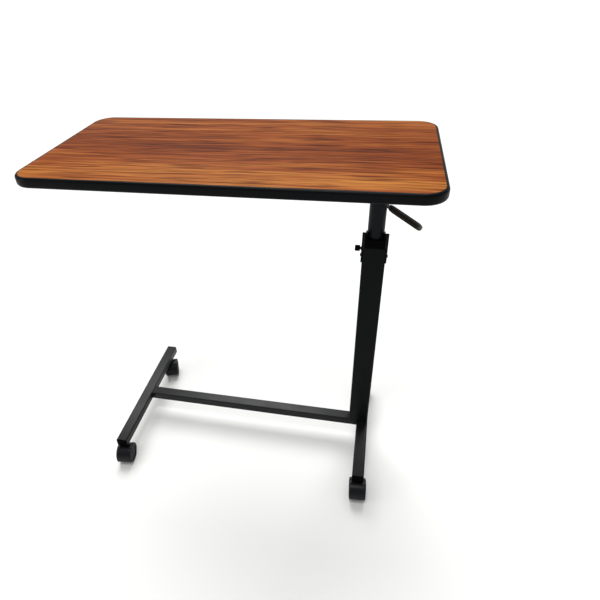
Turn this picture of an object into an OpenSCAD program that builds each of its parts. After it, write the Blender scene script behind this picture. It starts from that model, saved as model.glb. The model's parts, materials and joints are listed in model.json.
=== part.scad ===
// Overbed table on casters, with a gas spring column.
// Millimetres, +Z up, +X towards the column end, -Y towards the user.
// The origin is on the floor, at the middle of the object's footprint.

/* [Tabletop] */
// Length of the top, edge strip included
top_l = 790; // [700:2:900]
// Depth of the top, edge strip included
top_d = 390; // [360:2:450]
// Thickness of the top
top_t = 20.5; // [16:0.5:25]
// Height of the top above the floor, as it stands
top_h = 820; // [800:1:860]
// Outer radius of the top's corners
corner_r = 42; // [30:1:60]
// Width of the edge strip, seen from above
edge_w = 6; // [4:0.5:8]
// Thickness of the decorative laminate
laminate_t = 0.8; // [0.6:0.1:1.2]

/* [Mast and column] */
// Outer diameter of the telescoping mast
mast_d = 35; // [30:0.5:36]
// Distance from the mast's axis to the top's right end
mast_inset = 108; // [100:1:140]
// Width of the column tube
column_w = 49; // [48:1:54]
// Depth of the column tube
column_d = 43; // [42:1:46]
// Height of the column tube's upper end above the floor
column_top = 620; // [600:1:630]
// Wall of the mast and of the column
tube_wall = 1.5; // [1.2:0.1:2]

/* [Base] */
// Width of the base tubes
rail_w = 29; // [25:1:30]
// Height of the base tubes
rail_h = 23; // [20:1:25]
// Length of each foot rail
rail_l = 386; // [370:2:400]
// Distance between the foot rails, centre to centre
rail_gap = 632; // [560:2:640]
// Height of the base tubes' upper face above the floor
rail_top = 80; // [78:1:84]

/* [Casters] */
// Diameter of the wheels
wheel_d = 50; // [48:1:50]
// Width of one wheel
wheel_w = 13.5; // [11:0.5:14]
// Distance from the swivel axis to the axle
trail = 20; // [18:1:22]
// Distance from the base's middle to each swivel axis
caster_y = 172; // [165:1:174]

/* [Lever and thumb screw] */
// Length of the release lever, from its pivot
lever_l = 97; // [80:1:105]
// Slope of the lever below the horizontal, in degrees
lever_drop = 33.5; // [30:0.5:36]
// Width of the lever's grip
grip_w = 21; // [18:0.5:22]
// Diameter of the thumb screw's knob
knob_d = 13; // [11:0.5:16]

/* [Hidden] */
$fn = 64;

// Clearances: a running fit on a radius, and the gap between parts that pass each other
run = 0.06;
gap = 0.3;
// A cut runs this far past the face that it opens
past = 1;

// Headings of the casters as they stand: 0 trails straight towards the user
heading = [[8, 20], [4, -12]];

// Caster: central web, hood and wheels
web_w = 12;
wheel_gap = 0.5;
caster_w = web_w + 2 * wheel_gap + 2 * wheel_w;
hood_r = wheel_d / 2 + 2.5;
hood_t = 1.6;
hood_w = caster_w;
hood_low = -20;
hood_high = 200;
axle_r = 3;
stem_r = 4;
wheel_r = wheel_d / 2;

// Base, in the mast's own axes
rail_bottom = rail_top - rail_h;
tube_r = 3;
rail_proud = 1;
right_rail_x = column_w / 2 + rail_proud - rail_w / 2;
left_rail_x = right_rail_x - rail_gap;
plug_t = 3;

// The row's origin is under the middle of the whole footprint
mast_x = top_l / 2 - mast_inset;
front_reach = max([for (pair = heading) caster_y + (trail + hood_r) * cos(pair[0])
    + hood_w / 2 * abs(sin(pair[0]))]);
back_reach = max(top_d / 2, rail_l / 2 + plug_t);
mast_y = (front_reach - back_reach) / 2;

// Column head
guide_top = column_top + 20;
guide_low = column_top - 60;
cheek_t = 2.5;
cheek_in = 20.5;
guide_w = 2 * cheek_in - 0.4;
cheek_out = column_w / 2 + cheek_t;
cheek_low = column_top - 34;
cheek_top = column_top + 36;
cheek_back_top = column_top + 15;
cheek_lip = 3;
screw_heights = [column_top - 28, column_top - 44];
knob_z = column_top - 12;
knob_r = knob_d / 2;
knob_l = 11;
knob_x = -cheek_out - 3;
stud_r = 3;
bush_r = 4.5;

// Mast and the gas spring inside it
mast_r = mast_d / 2;
mast_bore = mast_r - tube_wall;
mast_low = 215;
under_top = top_h - top_t;
plate_t = 3;
mast_high = under_top - plate_t;
shoe_h = 30;
spring_r = 11;
spring_bore = 9.8;
spring_low = 95;
spring_high = 560;
rod_r = 5;
rod_low = 245;
rod_high = under_top - 91.5;
piston_h = 12;
nut_h = 6;
foot_plate_t = 6;
head_block_low = rod_high - 24;
release_r = 1.75;
release_top = rod_high + 8;

// Lever
pivot_x = 9;
pivot_z = rod_high + 6;
pivot_r = 2.5;
pin_half = sqrt(mast_r * mast_r - pivot_x * pivot_x) + 0.2;
bar_t = 3;
bar_w = 15;
arm_t = 4;
grip_t = 11;
grip_round = 4;
grip_start = 16;

// Outline of a rectangle with rounded corners
module rounded_rect(width, depth, radius) {
    square([width - 2 * radius, depth], center = true);
    square([width, depth - 2 * radius], center = true);
    for (sx = [-1, 1], sy = [-1, 1])
        translate([sx * (width / 2 - radius), sy * (depth / 2 - radius)])
            circle(r = radius);
}

// Hollow tube with rounded corners, along +Z
module box_tube(width, depth, height, wall) {
    linear_extrude(height)
        difference() {
            rounded_rect(width, depth, tube_r);
            rounded_rect(width - 2 * wall, depth - 2 * wall, tube_r - wall);
        }
}

// Places its children on the mast's axis
module at_mast() {
    translate([mast_x, mast_y, 0])
        children();
}

// Places its children at the middle of the top
module at_top() {
    translate([0, mast_y, 0])
        children();
}

// X of a foot rail, on the left (side 0) or on the right (side 1)
function rail_x(side) = side == 0 ? left_rail_x : right_rail_x;

// Places its children on a caster's swivel axis; end 0 is the front, end 1 the back
module at_swivel(side, end) {
    at_mast()
        translate([rail_x(side), end == 0 ? -caster_y : caster_y, 0])
            children();
}

// Places its children on a caster's axle, turned to the caster's heading
module at_axle(side, end) {
    at_swivel(side, end)
        rotate([0, 0, heading[side][end]])
            translate([0, -trail, wheel_r])
                children();
}

// Base ---------------------------------------------------------------------

module foot_rail(side) {
    color("#2a2c2e")
        at_mast()
            translate([rail_x(side), rail_l / 2, rail_top - rail_h / 2])
                rotate([90, 0, 0])
                    difference() {
                        box_tube(rail_w, rail_h, rail_l, tube_wall);
                        for (end = [-1, 1])
                            translate([0, 0, rail_l / 2 + end * caster_y])
                                rotate([90, 0, 0])
                                    cylinder(r = stem_r + gap, h = rail_h);
                    }
}

module cross_tube() {
    length = rail_gap - rail_w;
    color("#2a2c2e")
        at_mast()
            translate([left_rail_x + rail_w / 2, 0, rail_top - rail_h / 2])
                rotate([0, 90, 0])
                    box_tube(rail_h, rail_w, length, tube_wall);
}

module end_plug(side, end) {
    color("#17181a")
        at_mast()
            translate([rail_x(side), (end == 0 ? -1 : 1) * rail_l / 2, rail_top - rail_h / 2])
                rotate([end == 0 ? 90 : -90, 0, 0]) {
                    linear_extrude(plug_t)
                        rounded_rect(rail_w, rail_h, tube_r);
                    translate([0, 0, -8])
                        linear_extrude(8)
                            difference() {
                                rounded_rect(rail_w - 2 * tube_wall - 0.2,
                                    rail_h - 2 * tube_wall - 0.2, 1.4);
                                rounded_rect(rail_w - 2 * tube_wall - 4,
                                    rail_h - 2 * tube_wall - 4, 1);
                            }
                }
}

module caster_socket(side, end) {
    length = 22;
    color("#8d9093")
        at_swivel(side, end)
            difference() {
                translate([0, length / 2, rail_top - rail_h / 2])
                    rotate([90, 0, 0])
                        linear_extrude(length)
                            rounded_rect(rail_w - 2 * tube_wall - 0.2,
                                rail_h - 2 * tube_wall - 0.2, 1.4);
                translate([0, 0, rail_bottom])
                    cylinder(r = stem_r + 0.02, h = rail_h);
            }
}

module caster_stem(side, end) {
    color("#9a9da0")
        at_swivel(side, end) {
            translate([0, 0, rail_top - tube_wall - 3])
                mirror([0, 0, 1])
                    cylinder(r = stem_r, h = rail_top - tube_wall - 3 - (wheel_r + 6));
            translate([0, 0, rail_bottom - 2])
                cylinder(r = 8, h = 2 - 0.02);
        }
}

module column_tube() {
    height = column_top - rail_top;
    color("#16191b")
        at_mast()
            translate([0, 0, rail_top])
                difference() {
                    box_tube(column_w, column_d, height, tube_wall);
                    for (h = screw_heights, side = [-1, 1])
                        translate([0, 0, h - rail_top])
                            rotate([0, side * 90, 0])
                                cylinder(r = 2.1, h = column_w);
                    translate([0, 0, knob_z - rail_top])
                        rotate([0, -90, 0])
                            cylinder(r = stud_r + gap, h = column_w);
                }
}

module column_foot_plate() {
    color("#2a2c2e")
        at_mast()
            translate([0, 0, rail_top])
                difference() {
                    linear_extrude(foot_plate_t)
                        rounded_rect(column_w - 2 * tube_wall - 0.1,
                            column_d - 2 * tube_wall - 0.1, 1.5);
                    translate([0, 0, -past])
                        cylinder(r = stem_r + 0.1, h = foot_plate_t + 2 * past);
                }
}

// Casters --------------------------------------------------------------------

// Side view of the hood's shell, a band of an arc from the trailing side over the top
module hood_arc() {
    steps = 22;
    function arc(radius, i) = let (a = hood_low + (hood_high - hood_low) * i / steps)
        [radius * cos(a), radius * sin(a)];
    intersection() {
        difference() {
            circle(r = hood_r);
            circle(r = hood_r - hood_t);
        }
        polygon([for (i = [0:steps]) arc(2 * hood_r, i), [0, 0]]);
    }
}

// Side view of the central web: a disc round the axle and an arm up to the stem
module web_outline() {
    circle(r = 9);
    intersection() {
        circle(r = hood_r - 0.5);
        union() {
            translate([-hood_r, 4])
                square([2 * hood_r - 8, hood_r]);
            translate([-hood_r, -4])
                square([hood_r, hood_r]);
        }
    }
}

// The side views are drawn with the trailing side to the right, and stood up along -Y
module stand_up(width) {
    rotate([90, 0, -90])
        translate([0, 0, -width / 2])
            linear_extrude(width)
                children();
}

module caster_hood(side, end) {
    color("#1b1c20")
        at_axle(side, end)
            difference() {
                union() {
                    stand_up(hood_w)
                        hood_arc();
                    stand_up(web_w)
                        web_outline();
                }
                rotate([0, 90, 0])
                    translate([0, 0, -web_w])
                        cylinder(r = axle_r + 0.02, h = 2 * web_w);
                translate([0, trail, 5.5])
                    cylinder(r = stem_r + run, h = wheel_d);
            }
}

module axle(side, end) {
    color("#9a9da0")
        at_axle(side, end)
            rotate([0, 90, 0])
                translate([0, 0, 2.2 - caster_w / 2])
                    cylinder(r = axle_r, h = caster_w - 4.4);
}

// One wheel: solid rim, dished inside, with a hub cap outside; side_sign -1 or 1
module wheel(side, end, side_sign) {
    color("#202126")
        at_axle(side, end)
            rotate([0, side_sign * 90, 0])
                translate([0, 0, web_w / 2 + wheel_gap])
                    rotate_extrude()
                        polygon([[axle_r + run, 0], [7, 0], [7, 7], [20.5, 7], [20.5, 0],
                            [wheel_r - 1, 0], [wheel_r, 1], [wheel_r, wheel_w - 2.5],
                            [wheel_r - 0.7, wheel_w - 0.8], [wheel_r - 2.5, wheel_w],
                            [20, wheel_w], [19, wheel_w - 1.5], [9, wheel_w - 1.5],
                            [8, wheel_w - 0.3], [0, wheel_w], [0, wheel_w - 1.9],
                            [axle_r + run, wheel_w - 1.9]]);
}

// Column head ------------------------------------------------------------------

module guide_block() {
    color("#0c0d0e")
        at_mast()
            difference() {
                union() {
                    translate([0, 0, guide_low])
                        linear_extrude(column_top - guide_low)
                            rounded_rect(column_w - 2 * tube_wall - 0.2,
                                column_d - 2 * tube_wall - 0.2, 1.5);
                    translate([0, 0, column_top])
                        linear_extrude(guide_top - column_top)
                            rounded_rect(guide_w, column_d - 0.6, 2);
                }
                translate([0, 0, guide_low - past])
                    cylinder(r = mast_r + run, h = guide_top - guide_low + 2 * past);
                translate([0, 0, knob_z])
                    rotate([0, -90, 0])
                        cylinder(r = stud_r + gap, h = column_w);
                for (h = screw_heights, side = [-1, 1])
                    translate([side * 19, 0, h])
                        rotate([0, side * 90, 0])
                            cylinder(r = 2.1, h = column_w);
            }
}

// A cheek laps the column's side and rises above it; side_sign -1 or 1
module cheek(side_sign) {
    color("#1a1c1e")
        at_mast()
            mirror([side_sign < 0 ? 1 : 0, 0, 0])
                difference() {
                    union() {
                        translate([column_w / 2, 0, 0])
                            cheek_side(cheek_t, cheek_low);
                        translate([cheek_in, 0, 0])
                            cheek_side(cheek_out - cheek_in, column_top);
                    }
                    for (h = screw_heights)
                        translate([0, 0, h])
                            rotate([0, 90, 0])
                                cylinder(r = 2.1, h = column_w);
                    if (side_sign < 0)
                        translate([0, 0, knob_z])
                            rotate([0, 90, 0])
                                cylinder(r = bush_r + 0.02, h = column_w);
                }
}

// Cheek in side view, from a given height up to its sloping top
module cheek_side(thickness, low) {
    half = column_d / 2;
    rotate([90, 0, 90])
        linear_extrude(thickness)
            polygon([[-half, low], [half, low], [half, cheek_back_top],
                [cheek_lip - half, cheek_top], [-half, cheek_top]]);
}

// Three pan-head screws: two on the left, one on the right
module cheek_screws() {
    color("#3c3f42")
        at_mast()
            for (place = [[-1, screw_heights[0]], [-1, screw_heights[1]], [1, screw_heights[0]]])
                translate([0, 0, place[1]])
                    rotate([0, place[0] * 90, 0])
                        difference() {
                            union() {
                                translate([0, 0, 19.5])
                                    cylinder(r = 2, h = cheek_out - 19);
                                translate([0, 0, place[1] > cheek_low ? cheek_out + 0.02
                                        : column_w / 2 + 0.02])
                                    cylinder(r1 = 3.8, r2 = 2.8, h = 2.4);
                            }
                            for (turn = [0, 90])
                                rotate([0, 0, turn])
                                    translate([0, 0, cheek_out + 4])
                                        cube([0.9, 4.2, 6.6], center = true);
                        }
}

module thumb_screw_bush() {
    color("#8d9093")
        at_mast()
            translate([-column_w / 2 - 0.02, 0, knob_z])
                rotate([0, -90, 0])
                    difference() {
                        cylinder(r = bush_r, h = cheek_t + 1.2);
                        translate([0, 0, -past])
                            cylinder(r = stud_r + run, h = cheek_t + 4);
                    }
}

module thumb_screw_stud() {
    color("#8d9093")
        at_mast()
            translate([-mast_r - gap, 0, knob_z])
                rotate([0, -90, 0])
                    cylinder(r = stud_r, h = -knob_x - mast_r - gap + 5);
}

module thumb_screw_knob() {
    ribs = 12;
    color("#121315")
        at_mast()
            translate([knob_x, 0, knob_z])
                rotate([0, -90, 0])
                    difference() {
                        union() {
                            cylinder(r = knob_r - 0.6, h = knob_l);
                            for (i = [0:ribs - 1])
                                rotate([0, 0, i * 360 / ribs])
                                    translate([knob_r - 1.3, 0, 1])
                                        cylinder(r = 1.3, h = knob_l - 2);
                        }
                        translate([0, 0, -past])
                            cylinder(r = stud_r + run, h = 6.5);
                    }
}

// Gas spring ---------------------------------------------------------------------

module gas_spring_cylinder() {
    height = spring_high - spring_low;
    color("#17181a")
        at_mast()
            translate([0, 0, spring_low]) {
                difference() {
                    cylinder(r = spring_r, h = height);
                    translate([0, 0, 4])
                        cylinder(r = spring_bore, h = height - 14);
                    translate([0, 0, height - 12])
                        cylinder(r = rod_r + run, h = 12 + past);
                }
                translate([0, 0, rail_top - spring_low + 1])
                    cylinder(r = stem_r, h = spring_low - rail_top);
            }
}

module gas_spring_nut() {
    color("#9a9da0")
        at_mast()
            translate([0, 0, rail_top + foot_plate_t])
                difference() {
                    cylinder(r = 7.5, h = nut_h, $fn = 6);
                    translate([0, 0, -past])
                        cylinder(r = stem_r + 0.05, h = nut_h + 2 * past);
                }
}

module gas_spring_piston() {
    color("#c8b070")
        at_mast()
            translate([0, 0, rod_low])
                difference() {
                    cylinder(r = spring_bore - run, h = piston_h);
                    translate([0, 0, -past])
                        cylinder(r = rod_r + 0.02, h = piston_h + 2 * past);
                }
}

module gas_spring_rod() {
    color("#c9ccd0")
        at_mast()
            difference() {
                translate([0, 0, rod_low])
                    cylinder(r = rod_r, h = rod_high - rod_low);
                translate([0, 0, rod_high - 14])
                    cylinder(r = release_r + run, h = 14 + past);
            }
}

module release_pin() {
    color("#d8dade")
        at_mast()
            translate([0, 0, release_top - 19])
                cylinder(r = release_r, h = 19);
}

// Mast ---------------------------------------------------------------------------

module mast_tube() {
    color("#23262a")
        at_mast()
            difference() {
                translate([0, 0, mast_low])
                    cylinder(r = mast_r, h = mast_high - mast_low);
                translate([0, 0, mast_low - past])
                    cylinder(r = mast_bore, h = mast_high - mast_low + 2 * past);
                // slot that the lever passes through
                translate([pivot_x - 1, -bar_w / 2 - 0.8, pivot_z - 10.5])
                    cube([mast_r, bar_w + 1.6, 17]);
                // holes of the pivot pin
                translate([pivot_x, 0, pivot_z])
                    rotate([90, 0, 0])
                        cylinder(r = pivot_r + 0.02, h = mast_d + 10, center = true);
            }
}

module mast_shoe() {
    color("#d9d6cc")
        at_mast()
            translate([0, 0, mast_low])
                difference() {
                    linear_extrude(shoe_h)
                        rounded_rect(column_w - 2 * tube_wall - 2 * gap,
                            column_d - 2 * tube_wall - 2 * gap, 1.5);
                    translate([0, 0, -past])
                        cylinder(r = mast_r + 0.02, h = shoe_h + 2 * past);
                }
}

module mast_head_block() {
    height = rod_high - 1 - head_block_low;
    color("#8d9093")
        at_mast()
            translate([0, 0, head_block_low])
                difference() {
                    cylinder(r = mast_bore - 0.02, h = height);
                    translate([0, 0, -past])
                        cylinder(r = rod_r + 0.02, h = height + 2 * past);
                }
}

module lever_pivot_pin() {
    color("#9a9da0")
        at_mast()
            translate([pivot_x, -pin_half, pivot_z])
                rotate([-90, 0, 0])
                    cylinder(r = pivot_r, h = 2 * pin_half);
}

// Lever ----------------------------------------------------------------------------

// Turns its children to the lever's own line, from the pivot outwards
module along_lever() {
    translate([pivot_x, 0, pivot_z])
        rotate([0, lever_drop, 0])
            children();
}

// Side view of the lever: boss, bar to the grip, and the inner arm over the release pin
module lever_outline() {
    translate([pivot_x, pivot_z]) {
        circle(r = 5);
        rotate(-lever_drop)
            translate([0, -bar_t / 2])
                square([lever_l - 12, bar_t]);
    }
    translate([-4, release_top + gap])
        square([pivot_x + 5, arm_t]);
}

module release_lever() {
    color("#3a3b3d")
        at_mast()
            rotate([90, 0, 0])
                linear_extrude(bar_w, center = true)
                    difference() {
                        lever_outline();
                        translate([pivot_x, pivot_z])
                            circle(r = pivot_r + run);
                    }
}

module lever_grip() {
    length = lever_l - grip_start - grip_w / 2;
    color("#241f1a")
        at_mast()
            along_lever()
                difference() {
                    translate([grip_start, 0, 0]) {
                        rotate([90, 0, 90])
                            linear_extrude(length)
                                rounded_rect(grip_w, grip_t, grip_round);
                        translate([length, 0, 0])
                            rotate([0, 0, -90])
                                rotate_extrude(angle = 180)
                                    intersection() {
                                        rounded_rect(grip_w, grip_t, grip_round);
                                        translate([0, -grip_t / 2])
                                            square([grip_w / 2, grip_t]);
                                    }
                    }
                    translate([0, -bar_w / 2 - 0.02, -bar_t / 2 - 0.02])
                        cube([lever_l - 11.9, bar_w + 0.04, bar_t + 0.04]);
                }
}

// Tabletop ---------------------------------------------------------------------------

plate_l = 300;
plate_d = 140;
plate_x = -55;
screw_spots = [for (x = [-plate_l / 2 + 15, 0, plate_l / 2 - 15], y = [-1, 1])
    [mast_x + plate_x + x, y * (plate_d / 2 - 15)]];

module mount_plate() {
    color("#2a2c2e")
        at_top()
            translate([0, 0, under_top - plate_t])
                difference() {
                    translate([mast_x + plate_x, 0, 0])
                        linear_extrude(plate_t)
                            rounded_rect(plate_l, plate_d, 8);
                    for (spot = screw_spots)
                        translate([spot[0], spot[1], -past])
                            cylinder(r = 2.6, h = plate_t + 2 * past);
                }
}

module mount_hub() {
    height = 22;
    color("#2a2c2e")
        at_mast()
            translate([0, 0, mast_high - height])
                difference() {
                    cylinder(r = mast_r + 4, h = height);
                    translate([0, 0, -past])
                        cylinder(r = mast_r + 0.02, h = height + 2 * past);
                }
}

module plate_screws() {
    color("#9a9da0")
        at_top()
            for (spot = screw_spots)
                translate([spot[0], spot[1], under_top - plate_t]) {
                    cylinder(r = 2.1, h = plate_t + 12);
                    translate([0, 0, -2.4])
                        cylinder(r1 = 3.4, r2 = 4.6, h = 2.4);
                }
}

module tabletop_board() {
    color("#b98d5c")
        at_top()
            translate([0, 0, under_top + laminate_t])
                difference() {
                    linear_extrude(top_t - 2 * laminate_t)
                        rounded_rect(top_l - 2 * edge_w, top_d - 2 * edge_w, corner_r - edge_w);
                    for (spot = screw_spots)
                        translate([spot[0], spot[1], -past])
                            cylinder(r = 2.12, h = 13);
                }
}

module laminate_sheet() {
    color("#a8622f")
        at_top()
            translate([0, 0, top_h - laminate_t])
                linear_extrude(laminate_t)
                    rounded_rect(top_l - 2 * edge_w, top_d - 2 * edge_w, corner_r - edge_w);
}

module backing_sheet() {
    color("#4a4440")
        at_top()
            translate([0, 0, under_top])
                difference() {
                    linear_extrude(laminate_t)
                        rounded_rect(top_l - 2 * edge_w, top_d - 2 * edge_w, corner_r - edge_w);
                    for (spot = screw_spots)
                        translate([spot[0], spot[1], -past])
                            cylinder(r = 2.12, h = 3);
                }
}

// Section of the edge strip: flat inside, rounded outside, [0, 0] at its inner lower corner
module edge_section() {
    intersection() {
        square([edge_w, top_t]);
        translate([0, top_t / 2])
            rounded_rect(2 * edge_w, top_t, edge_w - 0.5);
    }
}

// The strip runs along four sides and turns round four corners
module edge_strip() {
    inner_r = corner_r - edge_w;
    half_l = top_l / 2 - corner_r;
    half_d = top_d / 2 - corner_r;
    color("#141414")
        at_top()
            translate([0, 0, under_top]) {
                for (side = [[0, half_d + inner_r, half_l], [180, half_d + inner_r, half_l],
                        [90, half_l + inner_r, half_d], [270, half_l + inner_r, half_d]])
                    rotate([0, 0, side[0]])
                        translate([-side[2], side[1], 0])
                            rotate([90, 0, 90])
                                linear_extrude(2 * side[2])
                                    edge_section();
                for (corner = [[1, 1, 0], [-1, 1, 90], [-1, -1, 180], [1, -1, 270]])
                    translate([corner[0] * half_l, corner[1] * half_d, 0])
                        rotate([0, 0, corner[2]])
                            rotate_extrude(angle = 90)
                                translate([inner_r, 0])
                                    edge_section();
            }
}

foot_rail(0);  // left_foot_rail
foot_rail(1);  // right_foot_rail
cross_tube();
column_tube();
column_foot_plate();
end_plug(0, 0);  // end_plug_left_front
end_plug(0, 1);  // end_plug_left_back
end_plug(1, 0);  // end_plug_right_front
end_plug(1, 1);  // end_plug_right_back
caster_socket(0, 0);  // caster_socket_left_front
caster_socket(0, 1);  // caster_socket_left_back
caster_socket(1, 0);  // caster_socket_right_front
caster_socket(1, 1);  // caster_socket_right_back
caster_stem(0, 0);  // caster_stem_left_front
caster_stem(0, 1);  // caster_stem_left_back
caster_stem(1, 0);  // caster_stem_right_front
caster_stem(1, 1);  // caster_stem_right_back
caster_hood(0, 0);  // caster_hood_left_front
caster_hood(0, 1);  // caster_hood_left_back
caster_hood(1, 0);  // caster_hood_right_front
caster_hood(1, 1);  // caster_hood_right_back
axle(0, 0);  // axle_left_front
axle(0, 1);  // axle_left_back
axle(1, 0);  // axle_right_front
axle(1, 1);  // axle_right_back
wheel(0, 0, -1);  // wheel_left_front_a
wheel(0, 0, 1);  // wheel_left_front_b
wheel(0, 1, -1);  // wheel_left_back_a
wheel(0, 1, 1);  // wheel_left_back_b
wheel(1, 0, -1);  // wheel_right_front_a
wheel(1, 0, 1);  // wheel_right_front_b
wheel(1, 1, -1);  // wheel_right_back_a
wheel(1, 1, 1);  // wheel_right_back_b
guide_block();
cheek(-1);  // left_cheek
cheek(1);  // right_cheek
cheek_screws();
thumb_screw_bush();
thumb_screw_stud();
thumb_screw_knob();
gas_spring_cylinder();
gas_spring_nut();
gas_spring_piston();
gas_spring_rod();
release_pin();
mast_tube();
mast_shoe();
mast_head_block();
lever_pivot_pin();
release_lever();
lever_grip();
mount_plate();
mount_hub();
plate_screws();
tabletop_board();
laminate_sheet();
backing_sheet();
edge_strip();
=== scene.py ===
"""Overbed table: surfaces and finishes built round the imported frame.

Lengths are in metres, +Z up, +X towards the column end of the top, -Y towards the user.
"""

import json
import math

import bmesh
import bpy
import numpy as np
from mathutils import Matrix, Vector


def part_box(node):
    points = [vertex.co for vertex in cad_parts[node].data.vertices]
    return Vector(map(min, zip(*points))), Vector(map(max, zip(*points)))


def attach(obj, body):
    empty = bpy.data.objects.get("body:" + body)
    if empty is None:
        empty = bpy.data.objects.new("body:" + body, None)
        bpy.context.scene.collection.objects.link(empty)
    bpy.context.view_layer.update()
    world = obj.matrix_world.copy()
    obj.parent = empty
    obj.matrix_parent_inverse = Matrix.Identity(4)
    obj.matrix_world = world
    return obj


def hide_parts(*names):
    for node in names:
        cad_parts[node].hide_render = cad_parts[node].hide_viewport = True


bl_info = {
    "name": "Overbed table",
    "version": (1, 0, 0),
    "blender": (4, 5, 0),
    "location": "3D View > Sidebar > Overbed table",
    "description": "Builds an overbed table with a wood-grain top, a gas spring column and casters",
    "category": "Add Mesh",
}

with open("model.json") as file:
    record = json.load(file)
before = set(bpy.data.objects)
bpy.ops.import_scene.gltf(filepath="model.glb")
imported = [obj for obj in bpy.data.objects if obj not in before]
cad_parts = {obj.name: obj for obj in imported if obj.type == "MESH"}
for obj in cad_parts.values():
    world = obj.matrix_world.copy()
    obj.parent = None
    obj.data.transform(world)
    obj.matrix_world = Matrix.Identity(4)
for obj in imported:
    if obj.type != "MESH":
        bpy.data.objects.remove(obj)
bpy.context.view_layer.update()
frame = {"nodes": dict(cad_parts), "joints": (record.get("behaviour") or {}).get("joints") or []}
MM = 0.001
SIDES = ("left", "right")
ENDS = ("front", "back")
CORNERS = [f"{side}_{end}" for side in SIDES for end in ENDS]
JOINTS = {joint["name"]: joint for joint in frame["joints"]}
MATERIALS = {}


def hex_linear(code):
    """An sRGB hex colour as linear red, green and blue."""
    parts = [int(code[i:i + 2], 16) / 255 for i in (1, 3, 5)]
    return tuple(c / 12.92 if c <= 0.04045 else ((c + 0.055) / 1.055) ** 2.4 for c in parts)


def length_property(name, description, millimetres):
    return bpy.props.FloatProperty(
        name=name, description=description, default=millimetres * MM, min=0, unit="LENGTH",
        precision=5)


def colour_property(name, description, code):
    return bpy.props.FloatVectorProperty(
        name=name, description=description, default=hex_linear(code), size=3,
        subtype="COLOR", min=0, max=1)


class OverbedSizes(bpy.types.PropertyGroup):
    tube_corner: length_property("Tube corner", "Outer corner radius of the base tubes", 3.0)
    column_corner: length_property("Column corner", "Outer corner radius of the column", 3.2)
    top_corner: length_property("Top corner", "Corner radius of the top seen from above", 42)
    seam_depth: length_property("Seam", "Depth of the seam between laminate and edge strip", 0.5)
    plug_crown: length_property("Plug crown", "Rounding of the end plugs' rims", 1.6)
    hood_shoulder: length_property("Hood shoulder", "Rounding of the hoods' side rims", 5)
    weld_size: length_property("Weld", "Leg of the weld beads", 2.2)
    thread_pitch: length_property("Thread pitch", "Pitch of the thumb screw", 1.0)
    small_round: length_property("Small rounding", "Rounding of bracket and block edges", 0.7)
    knob_ribs: bpy.props.IntProperty(
        name="Knob ribs", description="Grip ribs round the thumb screw's knob", default=14, min=6)


class OverbedColours(bpy.types.PropertyGroup):
    wood_pale: colour_property("Pale grain", "Palest bands of the laminate", "#AE7030")
    wood_mid: colour_property("Grain", "Main colour of the laminate", "#7E3D15")
    wood_dark: colour_property("Dark grain", "Dark streaks of the laminate", "#40180A")
    edge: colour_property("Edge strip", "Edge strip of the top", "#060709")
    frame_paint: colour_property("Frame paint", "Powder coat of the base", "#101112")
    column_paint: colour_property("Column paint", "Powder coat of the column", "#0B0D0E")
    mast_paint: colour_property("Mast paint", "Paint of the mast", "#15171A")
    plastic: colour_property("Plastic", "Moulded black plastic", "#060607")
    hood: colour_property("Hood", "Moulded hood of the casters", "#0C0D12")
    grip: colour_property("Grip", "Dipped vinyl of the lever", "#1E1912")
    zinc: colour_property("Zinc", "Bright zinc plate", "#B9BBBD")


# Geometry -------------------------------------------------------------------------

def rounded_loop(width, depth, radius, arc=9, support=1.2 * MM):
    """Rounded rectangle, anticlockwise, as points (n, 2).

    Quarter k is the corner's centre plus radius times (cos, sin) of an angle that runs over
    its own quarter turn. A support point stands before and after it, set back along the side.
    """
    sign = np.array([[1, 1], [-1, 1], [-1, -1], [1, -1]], float)
    centre = sign * [width / 2 - radius, depth / 2 - radius]
    angle = np.arange(4)[:, None] * math.pi / 2 + np.linspace(0, math.pi / 2, arc)[None]
    curve = centre[:, None] + radius * np.stack([np.cos(angle), np.sin(angle)], -1)
    first, last = angle[:, 0], angle[:, -1]
    before = curve[:, 0] - support * np.stack([-np.sin(first), np.cos(first)], -1)
    after = curve[:, -1] + support * np.stack([-np.sin(last), np.cos(last)], -1)
    return np.concatenate([before[:, None], curve, after[:, None]], 1).reshape(-1, 2)


def quarter(size, steps=5):
    """Rounding of an end: pairs (distance from the end, inset) on a quarter circle of that size."""
    angle = np.linspace(0, math.pi / 2, steps)
    return np.stack([size * (1 - np.cos(angle)), size * (1 - np.sin(angle))], 1)


class Shell:
    """Collects grids of points and turns them into one closed mesh."""

    def __init__(self):
        self.points = []
        self.faces = []
        self.count = 0

    def grid(self, points, wrap_rows=False, wrap_columns=True, first_cap=False, last_cap=False):
        """Adds a grid (rows, columns, 3). Quads join neighbours; wrapping joins the last to the
        first, and a cap is one face over the first or the last row."""
        points = np.asarray(points, float)
        rows, columns = points.shape[:2]
        index = self.count + np.arange(rows * columns).reshape(rows, columns)
        across = np.roll(index, -1, 1) if wrap_columns else index[:, 1:]
        here = index if wrap_columns else index[:, :-1]
        if wrap_rows:
            down, down_across = np.roll(here, -1, 0), np.roll(across, -1, 0)
        else:
            here, down, across, down_across = here[:-1], here[1:], across[:-1], across[1:]
        quads = np.stack([here, across, down_across, down], -1).reshape(-1, 4)
        self.faces += quads.tolist()
        if first_cap:
            self.faces.append(index[0, ::-1].tolist())
        if last_cap:
            self.faces.append(index[-1].tolist())
        self.points.append(points.reshape(-1, 3))
        self.count += rows * columns

    def piece(self, name, smooth_angle=40):
        """Makes the object, with doubles merged, faces outwards and sharp edges marked."""
        mesh = bpy.data.meshes.new(name)
        mesh.from_pydata(np.concatenate(self.points).tolist(), [], self.faces)
        return finish_mesh(mesh, name, smooth_angle)


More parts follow.
